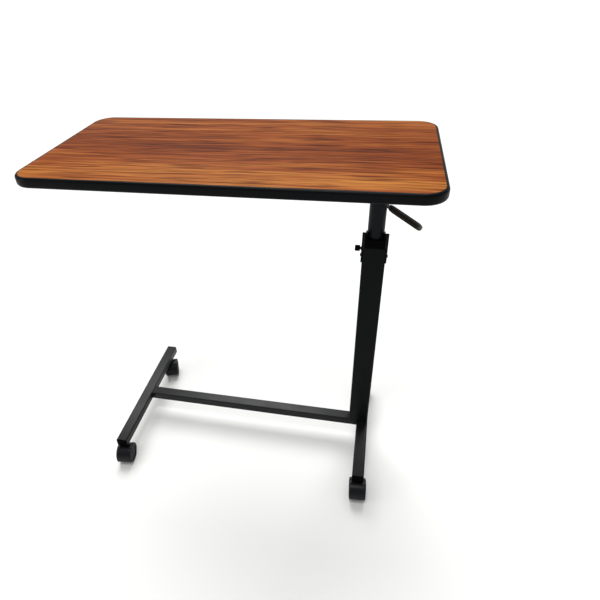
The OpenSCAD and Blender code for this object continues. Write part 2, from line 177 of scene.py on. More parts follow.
def solid(name, points, smooth_angle=40, ring=False):
    """A piece from one closed grid: a ring's last row joins its first, else both get a cap."""
    shell = Shell()
    shell.grid(points, wrap_rows=ring, first_cap=not ring, last_cap=not ring)
    return shell.piece(name, smooth_angle)


def finish_mesh(mesh, name, smooth_angle):
    """Merges doubles, turns faces outwards, shades smooth below an angle, and links an object."""
    work = bmesh.new()
    work.from_mesh(mesh)
    bmesh.ops.remove_doubles(work, verts=work.verts, dist=1e-6)
    bmesh.ops.recalc_face_normals(work, faces=work.faces)
    work.to_mesh(mesh)
    work.free()
    mesh.polygons.foreach_set("use_smooth", np.ones(len(mesh.polygons), bool))
    mesh.set_sharp_from_angle(angle=math.radians(smooth_angle))
    obj = bpy.data.objects.new(name, mesh)
    bpy.context.scene.collection.objects.link(obj)
    return obj


def bar_points(low, high, along, radius, low_end, high_end):
    """Surface of a bar with a rounded rectangular section that fills the box low to high.

    Row by row it is the section's loop, shrunk by the inset of that station. The ends are
    lists of (distance from the end, inset), as quarter() gives.
    """
    low, high = np.array(low), np.array(high)
    first, second = [axis for axis in range(3) if axis != along]
    width, depth = high[first] - low[first], high[second] - low[second]
    stations = [(low[along] + d, inset) for d, inset in low_end]
    stations += [(high[along] - d, inset) for d, inset in reversed(list(high_end))]
    rows = []
    for station, inset in stations:
        loop = rounded_loop(width - 2 * inset, depth - 2 * inset, max(radius - inset, 0.2 * MM))
        row = np.empty((len(loop), 3))
        row[:, along] = station
        row[:, first] = loop[:, 0] + (low[first] + high[first]) / 2
        row[:, second] = loop[:, 1] + (low[second] + high[second]) / 2
        rows.append(row)
    return np.array(rows)


def bar(name, node, along, radius, end):
    """A closed bar in the place of a CAD node, with the same rounding at both ends."""
    low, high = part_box(node)
    return solid(name, bar_points(low, high, along, radius, end, end))


def axis_frame(axis):
    """Two unit vectors square to an axis, and the axis itself as a unit vector."""
    axis = np.array(axis, float) / np.linalg.norm(axis)
    helper = np.array([0, 0, 1.0]) if abs(axis[2]) < 0.9 else np.array([1.0, 0, 0])
    across = np.cross(helper, axis)
    across /= np.linalg.norm(across)
    return across, np.cross(axis, across), axis


def lathe_points(centre, axis, profile, steps=48, ripple=None):
    """Profile points (radius, height) turned round an axis through centre.

    ripple, if given, is a function of (angle, radius, height) that is added to the radius.
    """
    across, up, axis = axis_frame(axis)
    profile = np.array(profile, float)
    angle = np.arange(steps) * 2 * math.pi / steps
    radius = np.repeat(profile[:, :1], steps, 1)
    height = np.repeat(profile[:, 1:], steps, 1)
    if ripple:
        radius = radius + ripple(angle[None], radius, height)
    ring = np.cos(angle)[:, None] * across + np.sin(angle)[:, None] * up
    return np.array(centre) + radius[..., None] * ring + height[..., None] * axis


def node_points(node):
    """All the corner points of a CAD node, as an array (n, 3)."""
    mesh = frame["nodes"][node].data
    flat = np.empty(len(mesh.vertices) * 3)
    mesh.vertices.foreach_get("co", flat)
    return flat.reshape(-1, 3)


def middle(node):
    low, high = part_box(node)
    return np.array((low + high) / 2)


def rounded_copy(node, name, width, segments=2):
    """A merged copy of a CAD node, its flat faces rejoined, with its sharp edges rounded."""
    mesh = frame["nodes"][node].data.copy()
    work = bmesh.new()
    work.from_mesh(mesh)
    bmesh.ops.remove_doubles(work, verts=work.verts, dist=2e-6)
    bmesh.ops.dissolve_limit(
        work, angle_limit=math.radians(0.4), verts=work.verts, edges=work.edges)
    work.to_mesh(mesh)
    work.free()
    mesh.materials.clear()
    obj = finish_mesh(mesh, name, 32)
    bevel = obj.modifiers.new("rounding", "BEVEL")
    bevel.width = width
    bevel.segments = segments
    bevel.limit_method = "ANGLE"
    bevel.angle_limit = math.radians(32)
    weighted = obj.modifiers.new("normals", "WEIGHTED_NORMAL")
    weighted.keep_sharp = True
    return obj


def place(obj, body, nodes, finish):
    """Gives a piece its body, the CAD nodes that it stands for and its finish."""
    obj.data.materials.append(MATERIALS[finish])
    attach(obj, body)
    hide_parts(*nodes)


def paint(nodes, finish):
    """Gives CAD nodes that keep their own shape a finish."""
    for node in nodes:
        mesh = frame["nodes"][node].data
        mesh.materials.clear()
        mesh.materials.append(MATERIALS[finish])


# Materials ------------------------------------------------------------------------

def add_node(tree, kind, inputs=None, stops=None, **settings):
    """Adds a shader node with its settings. inputs are values, or sockets that are linked;
    stops are a colour ramp's (position, colour) pairs."""
    node = tree.nodes.new("ShaderNode" + kind)
    for name, value in settings.items():
        setattr(node, name, value)
    if stops:
        ramp = node.color_ramp
        while len(ramp.elements) < len(stops):
            ramp.elements.new(0.5)
        for element, (position, colour) in zip(ramp.elements, stops):
            element.position = position
            element.color = (*colour, 1)
    for name, value in (inputs or {}).items():
        if isinstance(value, bpy.types.NodeSocket):
            tree.links.new(value, node.inputs[name])
        else:
            node.inputs[name].default_value = value
    return node


def begin(name):
    """An empty material: its tree, object coordinates in metres, and its shader."""
    material = bpy.data.materials.new(name)
    material.use_nodes = True
    tree = material.node_tree
    tree.nodes.clear()
    where = add_node(tree, "TexCoord").outputs["Object"]
    shader = add_node(tree, "BsdfPrincipled")
    add_node(tree, "OutputMaterial", {"Surface": shader.outputs["BSDF"]})
    return material, tree, where, shader


def shade(tree, shader, colour, roughness, height, distance, strength=1.0, **values):
    """Links colour, roughness and a bump height to a shader, and sets its uniform values."""
    bump = add_node(tree, "Bump", {"Height": height, "Distance": distance, "Strength": strength})
    tree.links.new(colour, shader.inputs["Base Color"])
    tree.links.new(roughness, shader.inputs["Roughness"])
    tree.links.new(bump.outputs["Normal"], shader.inputs["Normal"])
    for name, value in values.items():
        shader.inputs[name.replace("_", " ")].default_value = value


def tinted(colour, factor):
    return tuple(min(1.0, c * factor) for c in colour)


def coated(name, colour, grain, rough, specular):
    """Paint or plastic: a fine grain for the bump, and a slow drift of tone and gloss."""
    material, tree, where, shader = begin(name)
    fine = add_node(tree, "TexNoise", {
        "Vector": where, "Scale": 1 / grain, "Detail": 3.0, "Roughness": 0.55})
    slow = add_node(tree, "TexNoise", {
        "Vector": where, "Scale": 1 / (60 * MM), "Detail": 4.0, "Roughness": 0.6})
    tone = add_node(tree, "ValToRGB", {"Fac": slow.outputs["Fac"]}, stops=[
        (0.3, tinted(colour, 0.85)), (0.55, colour), (0.8, tinted(colour, 1.35))])
    gloss = add_node(tree, "MapRange", {
        "Value": slow.outputs["Fac"], "From Min": 0.3, "From Max": 0.7,
        "To Min": rough - 0.05, "To Max": rough + 0.07})
    shade(tree, shader, tone.outputs["Color"], gloss.outputs["Result"], fine.outputs["Fac"],
          0.10 * grain, 0.6, Specular_IOR_Level=specular)
    return material


def powder_coat(name, colour, specular=0.18):
    """Polyester powder coat, baked on: satin, with a fine orange peel of about 1.5 mm."""
    return coated(name, colour, 1.5 * MM, 0.38, specular)


def smooth_paint(name, colour):
    """Sprayed enamel on a drawn tube: smoother and glossier than powder coat."""
    return coated(name, colour, 3 * MM, 0.32, 0.05)


def moulded_plastic(name, colour, rough=0.45, specular=0.3):
    """Injection-moulded nylon or polypropylene: spark-eroded grain of about 0.8 mm."""
    return coated(name, colour, 0.8 * MM, rough, specular)


def dipped_vinyl(name, colour, highlight_from, highlight_to):
    """Plastisol-dipped grip: soft sheen, slow ripples, and a painted highlight that turns it
    lighter grey towards its tip in X, where the tip catches the light.
    """
    material, tree, where, shader = begin(name)
    ripple = add_node(tree, "TexNoise", {"Vector": where, "Scale": 1 / (5 * MM), "Detail": 3.0})
    along = add_node(tree, "SeparateXYZ", {"Vector": where})
    # painted highlight: along X the colour turns lighter grey over the grip's tip, standing in for
    # the light that the tip catches
    tip_highlight = add_node(tree, "MapRange", {
        "Value": along.outputs["X"], "From Min": highlight_from, "From Max": highlight_to},
        interpolation_type="SMOOTHSTEP")
    broken = add_node(tree, "Math", {
        0: tip_highlight.outputs["Result"], 1: ripple.outputs["Fac"]}, operation="MULTIPLY")
    # from the grip's own colour up to the painted highlight's lighter grey
    tone = add_node(tree, "ValToRGB", {"Fac": broken.outputs["Value"]}, stops=[
        (0.0, colour), (0.22, tinted(colour, 1.8)), (0.5, hex_linear("#5A5A5A"))])
    gloss = add_node(tree, "MapRange", {
        "Value": ripple.outputs["Fac"], "To Min": 0.38, "To Max": 0.55})
    shade(tree, shader, tone.outputs["Color"], gloss.outputs["Result"],
          ripple.outputs["Fac"], 0.3 * MM, 0.5, Specular_IOR_Level=0.08)
    return material


def plated_steel(name, colour, rough=0.28):
    """Bright zinc plate on turned steel: fine lathe scratches and a faint milky drift."""
    material, tree, where, shader = begin(name)
    stretch = add_node(tree, "Mapping", {"Vector": where, "Scale": (1, 1, 14)})
    scratch = add_node(tree, "TexNoise", {
        "Vector": stretch.outputs["Vector"], "Scale": 1 / (2 * MM), "Detail": 3.0})
    milky = add_node(tree, "TexNoise", {"Vector": where, "Scale": 1 / (6 * MM)})
    tone = add_node(tree, "ValToRGB", {"Fac": milky.outputs["Fac"]}, stops=[
        (0.3, tinted(colour, 0.82)), (0.7, colour)])
    gloss = add_node(tree, "MapRange", {
        "Value": scratch.outputs["Fac"], "To Min": rough - 0.06, "To Max": rough + 0.14})
    shade(tree, shader, tone.outputs["Color"], gloss.outputs["Result"],
          scratch.outputs["Fac"], 0.05 * MM, 0.4, Metallic=1.0)
    return material


def teak_laminate(name, colours, origin, depth):
    """Printed teak-pattern melamine under a satin overlay.

    The eye sees a redder heartwood band that runs the length of the sheet behind its middle,
    growth bands about 35 mm wide, streaks about 8 mm wide and 380 mm long, and dark pore
    lines 110 mm long, drawn 4 mm wide so that they show. A low index of refraction keeps the
    overlay from whitening the print at shallow angles.
    """
    material, tree, where, shader = begin(name)
    centred = add_node(tree, "Mapping", {"Vector": where, "Location": tuple(-origin)})
    base = centred.outputs["Vector"]
    bend = add_node(tree, "TexNoise", {
        "Vector": base, "Scale": 2.6, "Detail": 1.0, "Roughness": 0.5})
    warp = add_node(tree, "VectorMath", {
        0: bend.outputs["Color"], 1: (0.0, 30 * MM, 0.0)}, operation="MULTIPLY")
    warped = add_node(tree, "VectorMath", {
        0: base, 1: warp.outputs["Vector"]}, operation="ADD").outputs["Vector"]

    def grain(length, width, detail, roughness):
        """Noise whose features have a length along X and a width along Y."""
        space = add_node(tree, "Mapping", {
            "Vector": warped, "Scale": (1 / length, 1 / width, 1)})
        return add_node(tree, "TexNoise", {
            "Vector": space.outputs["Vector"], "Scale": 1.0, "Detail": detail,
            "Roughness": roughness}).outputs["Fac"]

    bands = grain(600 * MM, 35 * MM, 2.0, 0.5)
    streaks = grain(380 * MM, 8 * MM, 5.0, 0.7)
    pores = grain(110 * MM, 4.5 * MM, 1.0, 0.5)
    axes = add_node(tree, "SeparateXYZ", {"Vector": warped})
    slant = add_node(tree, "Math", {
        0: axes.outputs["X"], 1: 0.06, 2: axes.outputs["Y"]}, operation="MULTIPLY_ADD")
    across = add_node(tree, "MapRange", {
        "Value": slant.outputs["Value"], "From Min": -depth / 2, "From Max": depth / 2})
    # paleness from the near edge (0) to the far edge (1), lowest in the heartwood
    paleness = [(0.0, 0.60), (0.24, 0.56), (0.38, 0.42), (0.48, 0.27), (0.66, 0.40), (1.0, 0.50)]
    heart = add_node(tree, "ValToRGB", {"Fac": across.outputs["Result"]},
                     stops=[(spot, (value,) * 3) for spot, value in paleness])
    coarse = add_node(tree, "Mix", {0: 0.62, 2: bands, 3: streaks}, data_type="FLOAT")
    spread = add_node(tree, "MapRange", {
        "Value": coarse.outputs[0], "From Min": 0.34, "From Max": 0.66,
        "To Min": -0.34, "To Max": 0.34}, clamp=False)
    level = add_node(tree, "Math", {
        0: spread.outputs["Result"], 1: heart.outputs["Color"]}, operation="ADD")
    tone = add_node(tree, "ValToRGB", {"Fac": level.outputs["Value"]}, stops=[
        (0.05, colours.wood_dark), (0.42, colours.wood_mid), (0.85, colours.wood_pale)])
    dash = add_node(tree, "ValToRGB", {"Fac": pores}, stops=[
        (0.38, (0.36, 0.28, 0.26)), (0.50, (1, 1, 1))])
    final = add_node(tree, "Mix", {
        0: 0.9, 6: tone.outputs["Color"], 7: dash.outputs["Color"]},
        data_type="RGBA", blend_type="MULTIPLY")
    gloss = add_node(tree, "MapRange", {
        "Value": pores, "From Min": 0.3, "From Max": 0.7, "To Min": 0.50, "To Max": 0.40})
    shade(tree, shader, final.outputs[2], gloss.outputs["Result"], pores,
          0.08 * MM, 0.35, IOR=1.1)
    return material


def chipboard(name):
    """Pressed chipboard: flakes of a few millimetres in pale and dark brown."""
    material, tree, where, shader = begin(name)
    flakes = add_node(tree, "TexVoronoi", {"Vector": where, "Scale": 1 / (3 * MM)})
    tone = add_node(tree, "ValToRGB", {"Fac": flakes.outputs["Color"]}, stops=[
        (0.1, hex_linear("#8A6A43")), (0.6, hex_linear("#B99566")), (1.0, hex_linear("#D3B585"))])
    rough = add_node(tree, "MapRange", {
        "Value": flakes.outputs["Distance"], "To Min": 0.7, "To Max": 0.95})
    shade(tree, shader, tone.outputs["Color"], rough.outputs["Result"],
          flakes.outputs["Distance"], 0.4 * MM, 0.6)
    return material


def make_materials():
    """Makes each finish once, from the colours of the scene's settings."""
    colours = bpy.context.scene.overbed_colours
    top = middle("laminate_sheet")
    low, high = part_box("laminate_sheet")
    grip_low, grip_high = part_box("lever_grip")
    # the last 28 % of the grip gets the painted highlight, a lighter grey where its tip catches the
    # light
    highlight_start = grip_high.x - 0.28 * (grip_high.x - grip_low.x)
    MATERIALS.update({
        "laminate": teak_laminate("teak_melamine_laminate", colours, top, high.y - low.y),
        "edge": moulded_plastic("extruded_pvc_edge", colours.edge, 0.35, 0.06),
        "frame": powder_coat("powder_coat_frame", colours.frame_paint),
        "column": powder_coat("powder_coat_column", colours.column_paint, 0.06),
        "mast": smooth_paint("enamel_mast", colours.mast_paint),
        "plastic": moulded_plastic("moulded_acetal_black", colours.plastic, 0.55, 0.01),
        "hood": moulded_plastic("moulded_nylon_hood", colours.hood, 0.36, 0.18),
        "wheel": moulded_plastic("moulded_nylon_wheel", colours.hood, 0.5, 0.15),
        "grip": dipped_vinyl("dipped_vinyl_grip", colours.grip, highlight_start, grip_high.x),
        "zinc": plated_steel("bright_zinc_steel", colours.zinc),
        "chrome": plated_steel("hard_chrome_rod", hex_linear("#D6D8DA"), 0.16),
        "brass": plated_steel("turned_brass", hex_linear("#B08D4C"), 0.3),
        "natural": moulded_plastic("natural_nylon", hex_linear("#CFC8B8")),
        "backing": moulded_plastic("melamine_backing_sheet", hex_linear("#4A423B"), 0.6, 0.3),
        "chipboard": chipboard("pressed_chipboard"),
    })


# Pieces ---------------------------------------------------------------------------

def edge_section(width, thickness, seam):
    """Section of the edge strip as (inset from the outer edge, height above its underside).

    The outside is flat between two quarter circles. The top ends in a shallow seam beside
    the laminate.
    """
    lip = 0.5 * MM
    lower = quarter(width - lip, 8)[:, ::-1]
    upper = lower[::-1] * [1, -1] + [0, thickness]
    inner = np.array([[width - 0.5 * lip, thickness - 0.3 * seam],
                      [width, thickness - seam], [width, 0.0]])
    return np.concatenate([lower, upper, inner])


def outline_rows(node, radius, stations):
    """One row round a node's outline, seen from above, for each (inset, height above it)."""
    low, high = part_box(node)
    rows = []
    for inset, height in stations:
        loop = rounded_loop(high.x - low.x - 2 * inset, high.y - low.y - 2 * inset,
                            radius - inset, arc=20)
        row = np.full((len(loop), 3), low.z + height)
        row[:, :2] = loop + middle(node)[:2]
        rows.append(row)
    return rows


def build_edge_strip(sizes):
    low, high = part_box("edge_strip")
    inside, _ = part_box("laminate_sheet")
    section = edge_section(inside.x - low.x, high.z - low.z, sizes.seam_depth)
    return solid("edge_strip_bullnose", outline_rows("edge_strip", sizes.top_corner, section),
                 50, ring=True)


def build_laminate(sizes):
    """The printed sheet: a rounded rectangle whose upper rim falls away on a small radius."""
    low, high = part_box("laminate_sheet")
    outer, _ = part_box("edge_strip")
    radius = sizes.top_corner - (low.x - outer.x)
    fall = quarter(0.3 * MM, 4)[::-1]
    stations = [(0.0, 0.0)] + [(inset, high.z - low.z - d) for d, inset in fall]
    return solid("laminate_panel", outline_rows("laminate_sheet", radius, stations))


def build_screw_head(shell, seat, axis, radius, head, depth):
    """Pan head: a dome as high as head times the root of 1 - 0.75 r^4, less a cross recess."""
    across, up, axis = axis_frame(axis)
    steps, rings = 40, 12
    angle = np.arange(steps) * 2 * math.pi / steps
    ring = np.linspace(1, 0.02, rings)[:, None]
    x, y = ring * np.cos(angle), ring * np.sin(angle)
    dome = head * np.sqrt(np.clip(1 - 0.75 * ring ** 4, 0, 1)) * np.ones_like(x)
    arm = np.maximum(np.clip(1.3 - np.abs(x) / 0.13, 0, 1), np.clip(1.3 - np.abs(y) / 0.13, 0, 1))
    recess = depth * arm * np.clip((0.6 - ring) / 0.12, 0, 1)
    top = radius * (x[..., None] * across + y[..., None] * up) + (dome - recess)[..., None] * axis
    skirt = radius * (x[:1, :, None] * across + y[:1, :, None] * up)
    shell.grid(np.array(seat) + np.concatenate([skirt, top]), first_cap=True, last_cap=True)


def build_plug(name, node, front):
    """End plug: a cap with the tube's outline whose outer rim is rounded over."""
    sizes = bpy.context.scene.overbed_sizes
    low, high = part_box(node)
    cap = min(3 * MM, high.y - low.y)
    low.y, high.y = (low.y, low.y + cap) if front else (high.y - cap, high.y)
    square_end, crowned = quarter(0.2 * MM, 3), quarter(sizes.plug_crown, 6)
    ends = (crowned, square_end) if front else (square_end, crowned)
    return solid(name, bar_points(low, high, 1, sizes.tube_corner, *ends))


def weld_bead(shell, path, inward, size):
    """A bead along a closed or open path: a flattened circle whose size ripples along it."""
    path = np.array(path, float)
    tangent = np.gradient(path, axis=0)
    tangent /= np.linalg.norm(tangent, axis=1, keepdims=True)
    inward = np.broadcast_to(np.array(inward, float), path.shape)
    side = np.cross(tangent, inward)
    distance = np.concatenate([[0], np.cumsum(np.linalg.norm(np.diff(path, axis=0), axis=1))])
    swell = 1 + 0.14 * np.sin(distance / (1.3 * MM))
    angle = np.linspace(0, 2 * math.pi, 10, endpoint=False)
    ring = (np.cos(angle)[None, :, None] * inward[:, None] * 0.8
            + np.sin(angle)[None, :, None] * side[:, None])
    shell.grid(path[:, None] + (0.5 * size * swell)[:, None, None] * ring,
               first_cap=True, last_cap=True)


def line(start, end, step=0.6 * MM):
    start, end = np.array(start, float), np.array(end, float)
    count = max(3, int(np.linalg.norm(end - start) / step))
    return start + (end - start) * np.linspace(0, 1, count)[:, None]


def build_welds(sizes):
    """Beads where the cross tube meets the foot rails and where the column stands on them."""
    shell = Shell()
    size, corner = sizes.weld_size, sizes.tube_corner
    cross_low, cross_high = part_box("cross_tube")
    column_low, column_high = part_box("column_tube")
    _, rail_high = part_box("right_foot_rail")

    def bead(start, end, inward):
        weld_bead(shell, line(start, end), inward, size)

    for x in (cross_low.x, cross_high.x):
        for y in (cross_low.y, cross_high.y):
            bead((x, y, cross_low.z + corner), (x, y, cross_high.z - corner), (0.7, 0.7, 0))
    near, far = cross_low.y + corner, cross_high.y - corner
    x, top = cross_low.x, cross_high.z - 0.2 * size
    bead((x, near, top), (x, far, top), (0.7, 0, 0.7))
    left, right = max(cross_high.x, column_low.x) + corner, column_high.x - corner
    for y in (column_low.y, column_high.y):
        bead((left, y, rail_high.z), (right, y, rail_high.z), (0, 0.7, 0.7))
    x = column_low.x
    bead((x, near, rail_high.z), (x, far, rail_high.z), (0.7, 0, 0.7))
    return shell.piece("weld_beads", 60)


def build_grip():
    """Paddle grip: a rounded flat section carried from the bar to the tip.

    Along the grip the half width grows a little and then closes on a half circle at the tip.
    Round the section the point is a superellipse, cos and sin raised to the squareness.
    """
    squareness = 0.65
    pivot = np.array(JOINTS["release_lever_pull"]["pos_m"])
    offset = middle("lever_grip") - pivot
    along = np.array([offset[0], 0, offset[2]])
    along /= np.linalg.norm(along)
    across = np.array([0, 1.0, 0])
    normal = np.cross(along, across)
    local = node_points("lever_grip") - pivot
    start, end = (local @ along).min(), (local @ along).max()
    half_w, half_t = (local @ across).max(), (local @ normal).max()
    t = np.concatenate([np.linspace(0, 0.12, 6), np.linspace(0.16, 0.80, 14),
                        1 - 0.2 * np.cos(np.linspace(0.1, math.pi / 2, 14))])
    s = start + (end - start) * t
    shoulder = 0.80 + 0.20 * np.sqrt(np.clip(t / 0.12, 0, 1))
    tip = np.sqrt(np.clip(1 - np.clip((s - (end - half_w)) / half_w, 0, 1) ** 2, 0, 1))
    width = half_w * np.minimum(0.93 + 0.07 * np.clip(t / 0.5, 0, 1), 1) * shoulder * tip
    thick = half_t * shoulder * (0.45 + 0.55 * tip) * np.where(tip > 0, 1, 0)
    angle = np.linspace(0, 2 * math.pi, 40, endpoint=False)
    wide, deep = (np.sign(wave) * np.abs(wave) ** squareness
                  for wave in (np.cos(angle), np.sin(angle)))
    points = (pivot + s[:, None, None] * along
              + (width[:, None] * wide)[..., None] * across
              + (thick[:, None] * deep)[..., None] * normal)
    return solid("lever_grip_paddle", points, 60)


def caster_axes(corner):
    """The middle of a caster's axle, its lateral axis, and its trailing direction."""
    roll = JOINTS[f"roll_{corner}_a"]
    centre, lateral = np.array(roll["pos_m"]), np.array(roll["axis"], float)
    trailing = np.cross(lateral, [0, 0, 1.0])
    stem = np.array(JOINTS[f"swivel_{corner}"]["pos_m"])
    if np.dot(trailing, centre - stem) < 0:
        trailing = -trailing
    return centre, lateral, trailing


def arc_points(centre, lateral, trailing, angle, radius, side):
    """Points round an axle: angle 0 is the trailing side and 90 degrees is up."""
    up = np.array([0, 0, 1.0])
    return (centre + side[..., None] * lateral
            + (radius * np.cos(angle))[..., None] * trailing
            + (radius * np.sin(angle))[..., None] * up)


def build_hood(corner, sizes):
    """Caster hood: a shell over both wheels, and the web between them.

    The shell is a closed cross-section carried round the axle: outside, its radius falls away
    at both rims on a quarter ellipse; inside it is straight. The web is a polar outline about
    the axle that swells from the axle boss out to the shell on the stem's side.
    """
    clearance, lip = 0.9 * MM, 0.5 * MM
    boss, web_half, web_edge = 9 * MM, 6 * MM, 0.6 * MM
    centre, lateral, trailing = caster_axes(corner)
    _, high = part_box(f"caster_hood_{corner}")
    wheel_low, wheel_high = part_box(f"wheel_{corner}_a")
    outer = high.z - centre[2]
    inner = (wheel_high.z - wheel_low.z) / 2 + clearance
    half = ((node_points(f"caster_hood_{corner}") - centre) @ lateral).max()
    shoulder, drop = sizes.hood_shoulder, outer - inner - lip
    fall = quarter(1, 7)
    side = np.concatenate([-half + shoulder * fall[:, 0], half - shoulder * fall[::-1, 0],
                           [half, 0.0, -half]])
    radius = np.concatenate([outer - drop * fall[:, 1], outer - drop * fall[::-1, 1],
                             [inner] * 3])
    # the shell's arc starts below the trailing side, ends below the leading side, and thins
    # to a rounded end over its first and last degrees
    arc_start, arc_end, rounding = -20, 200, 3
    angle = np.radians(np.linspace(arc_start, arc_end, 61))
    near_end = np.minimum(angle - angle[0], angle[-1] - angle) / np.radians(rounding)
    blend = np.sqrt(1 - (1 - np.clip(near_end, 0, 1)) ** 2)[:, None]
    mid = (outer + inner) / 2
    ring = mid + (radius[None] - mid) * (0.35 + 0.65 * blend)
    shell = Shell()
    shell.grid(arc_points(centre, lateral, trailing, angle[:, None] * np.ones_like(ring), ring,
                          side[None] * np.ones_like(ring)), first_cap=True, last_cap=True)
    # the web opens from the boss over 6 to 40 degrees and closes again over 186 to 204
    around = np.arange(0, 360, 4.0)
    gate = np.clip((around - 6) / (40 - 6), 0, 1) * np.clip((204 - around) / (204 - 186), 0, 1)
    gate = gate * gate * (3 - 2 * gate)
    polar = boss + (inner + web_edge - boss) * gate
    stations = [(-web_half, web_edge), (-web_half + web_edge, 0),
                (web_half - web_edge, 0), (web_half, web_edge)]
    shell.grid([arc_points(centre, lateral, trailing, np.radians(around), polar - inset,
                           np.full_like(around, offset)) for offset, inset in stations],
               first_cap=True, last_cap=True)
    return shell.piece(f"caster_hood_shell_{corner}", 45)


def wheel_profile(radius, width):
    """Half section of a wheel in millimetres, as (radius, height outwards): crowned tread,
    dished disc with a ring groove, domed hub, and a hollow inside round the hub."""
    crown, bore, hub_radius, hub_rise = 2.2, 3.1, 7.6, 1.3
    hub_foot, end_of_bore = width - 1.5, width - 1.9
    turn = np.linspace(0, math.pi / 2, 6)
    outer_round = [radius, width] - quarter(crown, 6)
    hub = np.stack([hub_radius * np.cos(turn), hub_foot + hub_rise * np.sin(turn)], 1)
    start = [[bore, 0], [6.8, 0], [7, 0.2], [7, 7], [20.5, 7], [20.5, 0.3], [20.8, 0],
             [radius - 1, 0], [radius - 0.3, 0.3], [radius, 1]]
    disc = [[20.4, width], [19.6, width - 0.3], [19, width - 1.5], [15.2, width - 1.6],
            [14.9, width - 2], [14.1, width - 2], [13.8, width - 1.6], [8.2, hub_foot]]
    end = [[0.02, width - 0.2], [0.02, end_of_bore], [bore, end_of_bore]]
    return np.concatenate([start, outer_round, disc, hub[:-1], end])


def build_wheel(corner, letter):
    centre, lateral, _ = caster_axes(corner)
    node = f"wheel_{corner}_{letter}"
    low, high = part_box(node)
    outward = lateral if np.dot(middle(node) - centre, lateral) > 0 else -lateral
    reach = (node_points(node) - centre) @ outward
    profile = wheel_profile((high.z - low.z) / 2 / MM, (reach.max() - reach.min()) / MM) * MM
    profile[:, 1] += reach.min()
    return solid(f"caster_wheel_{corner}_{letter}", lathe_points(centre, outward, profile, 72),
                 38, ring=True)


def build_stem(corner):
    """Caster stem: a pin with a round flange and a hexagon that seats against the rail.

    The hexagon's radius is its flat distance over the cosine of the angle to the nearest flat.
    """
    pin, nut, flange = 4 * MM, 6.6 * MM, 8 * MM
    flat, tip = 6.2 * MM, 7.1 * MM
    bevel, chamfer = 0.2 * MM, 0.5 * MM
    node = f"caster_stem_{corner}"
    low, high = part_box(node)
    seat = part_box("left_foot_rail")[0].z
    under_nut, under_flange = seat - 4.4 * MM, seat - 2 * MM
    profile = [[pin - chamfer, low.z], [pin, low.z + chamfer], [pin, under_nut],
               [nut - bevel, under_nut], [nut, under_nut + bevel], [nut, under_flange],
               [flange - bevel, under_flange], [flange, under_flange + bevel],
               [flange, seat - 0.1 * MM], [pin, seat - 0.05 * MM],
               [pin, high.z - chamfer], [pin - chamfer, high.z]]

    def hexagon(angle, radius, height):
        nearest = (angle + math.pi / 6) % (math.pi / 3) - math.pi / 6
        inside = ((height > under_nut - bevel) & (height < under_flange - 0.1 * MM)
                  & (radius > 5 * MM))
        corners = np.minimum(flat / np.cos(nearest), tip) - nut
        return np.where(inside, corners, 0) * np.ones_like(radius)

    points = lathe_points(middle(node) * [1, 1, 0], (0, 0, 1), profile, 72, hexagon)
    return solid(f"caster_stem_pin_{corner}", points, 35)


THUMB_BORE = 3.06 * MM
THUMB_AXIS = (-1, 0, 0)


def thumb_part(node):
    """The end nearer the mast, the radius and the length of a part of the thumb screw."""
    low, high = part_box(node)
    start = middle(node) * [0, 1, 1] + [high.x, 0, 0]
    return start, (high.z - low.z) / 2, high.x - low.x


def build_knob(sizes):
    """Thumb knob: a cylinder whose radius waves round it, with rounded rims and a dished face."""
    start, radius, length = thumb_part("thumb_screw_knob")
    rim, rib_depth = 1.2 * MM, 0.55 * MM
    corner = quarter(rim, 6)
    near = [radius, 0] + corner[:, ::-1] * [-1, 1]
    far = [radius, length] - corner
    body = np.stack([np.full(6, radius), np.linspace(rim, length - rim, 6)], 1)
    face = np.array([[radius - 2.0 * MM, length], [radius - 2.4 * MM, length - 0.5 * MM],
                     [0.4 * MM, length - 0.7 * MM]])
    boss = np.array([[THUMB_BORE, 6 * MM], [THUMB_BORE, 0.0], [radius - 2 * MM, 0.0]])

    def ribs(angle, r, h):
        amount = np.clip((r - 0.6 * radius) / (0.4 * radius), 0, 1)
        amount = amount * np.clip(h / rim, 0, 1) * np.clip((length - h) / rim, 0, 1)
        return -rib_depth * amount * (0.5 - 0.5 * np.cos(sizes.knob_ribs * angle)) ** 2

    profile = np.concatenate([boss, near, body, far, face])
    return solid("thumb_knob_ribbed", lathe_points(start, THUMB_AXIS, profile, 112, ribs), 50)


def build_stud(sizes):
    """Threaded stud: the radius falls by a triangle wave of height and angle, one pitch a turn."""
    start, radius, length = thumb_part("thumb_screw_stud")
    pitch, thread_depth, end_depth = sizes.thread_pitch, 0.5 * MM, 0.6 * MM
    heights = np.linspace(0, length, int(8 * length / pitch))

    def thread(angle, r, h):
        phase = (h / pitch - angle / (2 * math.pi)) % 1
        depth = thread_depth * np.abs(2 * phase - 1)
        ends = np.clip(np.minimum(h, length - h) / end_depth, 0, 1)
        return -depth * ends - end_depth * (1 - ends)

    profile = np.stack([np.full_like(heights, radius), heights], 1)
    return solid("thumb_stud_threaded", lathe_points(start, THUMB_AXIS, profile, 32, thread), 70)


def build_bush():
    """Threaded bush: a collar round the stud with a rounded outer rim."""
    start, radius, length = thumb_part("thumb_screw_bush")
    rim = [radius, length] - quarter(0.5 * MM)[::-1, ::-1]
    profile = np.concatenate([[[THUMB_BORE, 0.0], [radius, 0.0]], rim, [[THUMB_BORE, length]]])
    return solid("thumb_bush_collar", lathe_points(start, THUMB_AXIS, profile), ring=True)


def clusters(points, axis, gap):
    """Splits points into groups that lie more than a gap apart along one axis."""
    ordered = points[np.argsort(points[:, axis])]
    breaks = np.flatnonzero(np.diff(ordered[:, axis]) > gap) + 1
    return np.split(ordered, breaks)


